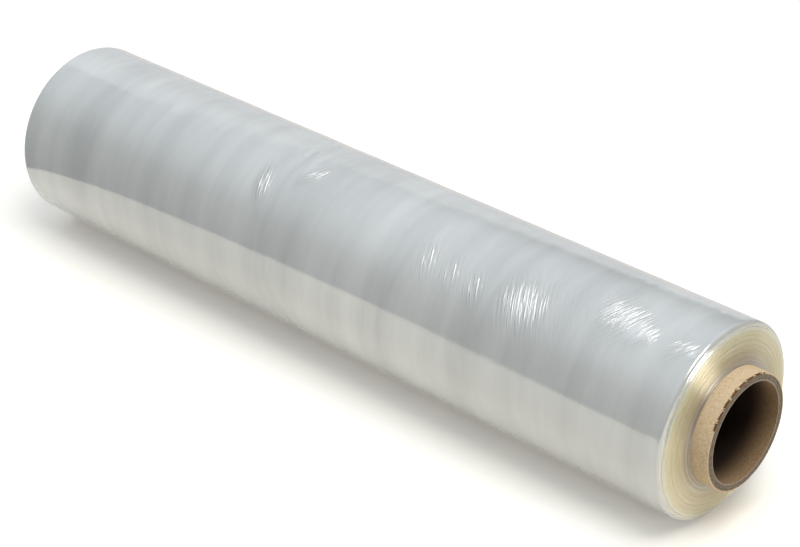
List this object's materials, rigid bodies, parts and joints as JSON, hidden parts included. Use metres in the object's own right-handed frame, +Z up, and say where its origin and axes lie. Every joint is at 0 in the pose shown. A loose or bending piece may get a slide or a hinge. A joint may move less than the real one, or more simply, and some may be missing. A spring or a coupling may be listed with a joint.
{
  "type": "stretch wrap roll",
  "caption": "Roll of clear stretch film for wrapping pallet loads, wound on a paper tube that stands out a little at each end, lying on its side.",
  "frame": {"origin": "middle of the footprint, on the surface that the roll lies on", "axes": "+X along the roll's axis, out of the end whose tube has the torn outer ply; +Z up"},
  "size_m": [0.474, 0.1, 0.0994],
  "materials": {
    "paperboard": "matte",
    "stretch_film": "gloss"
  },
  "bodies": {
    "root": {"paper_core": "paperboard", "wound_film": "stretch_film"}
  },
  "joints": []
}
